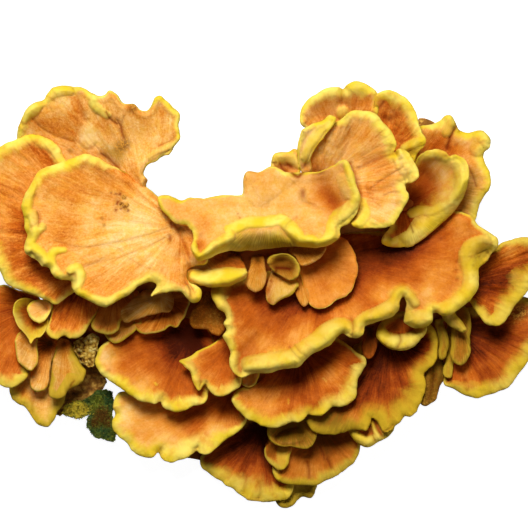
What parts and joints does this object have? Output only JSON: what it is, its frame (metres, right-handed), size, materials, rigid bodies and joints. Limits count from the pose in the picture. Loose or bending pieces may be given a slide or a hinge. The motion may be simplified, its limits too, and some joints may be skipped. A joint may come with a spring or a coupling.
{
  "type": "bracket fungus",
  "caption": "Cluster of overlapping sulphur-yellow and orange fungus shelves fanning out from one fleshy base with a flat cut face to rest on.",
  "frame": {"origin": "on the flat cut face, near its middle, under the middle of the cluster", "axes": "+Z out of the cut face towards the shelves' upper faces, +X to the viewer's right when looking down on the shelves with the notch at the top, +Y towards the notch"},
  "size_m": [0.5808, 0.4367, 0.1567],
  "materials": {
    "flesh": "matt suede-like fungus flesh, orange with sulphur-yellow margins",
    "cut_flesh": "pale sawn fungus flesh, dry and matt, darker where it is uncut",
    "bark": "rough dark bark",
    "moss": "matt green moss"
  },
  "bodies": {
    "root": {"base": "cut_flesh", "centre_top": "flesh", "right_fold": "flesh", "centre_back": "flesh", "right_fan": "flesh", "right_crown": "flesh", "right_hollow": "flesh", "right_cup": "flesh", "right_back": "flesh", "left_large": "flesh", "left_upper_lobe": "flesh", "left_upper": "flesh", "left_outer": "flesh", "centre_lip": "flesh", "centre_disc": "flesh", "centre_frill": "flesh", "centre_curl": "flesh", "centre_knob": "flesh", "centre_leaf": "flesh", "centre_bud": "flesh", "middle_left": "flesh", "middle_right": "flesh", "left_knob": "flesh", "left_curl": "flesh", "left_under": "flesh", "left_under_mid": "flesh", "left_under_low": "flesh", "left_brown": "flesh", "left_brown_low": "flesh", "middle_dark": "flesh", "left_low_outer": "flesh", "left_low_leaf": "flesh", "left_low_bud": "flesh", "left_low_wedge": "flesh", "left_low_tip": "flesh", "lower_left": "flesh", "lower_mid": "flesh", "lower_mid_bud": "flesh", "lower_centre": "flesh", "lower_right_knob": "flesh", "lower_right_tongue": "flesh", "lower_right": "flesh", "lower_right_lip": "flesh", "right_under_tab": "flesh", "right_under_strap": "flesh", "right_under_hang": "flesh", "right_under_drop": "flesh", "right_under_old": "flesh", "right_outer": "flesh", "right_low_outer": "flesh", "front_left": "flesh", "front_pore_lobe": "flesh", "front_tongue": "flesh", "front_right": "flesh", "front_middle": "flesh", "front_tip": "flesh", "old_flesh": "flesh", "bark": "bark", "moss": "moss", "twig": "bark"}
  },
  "joints": []
}
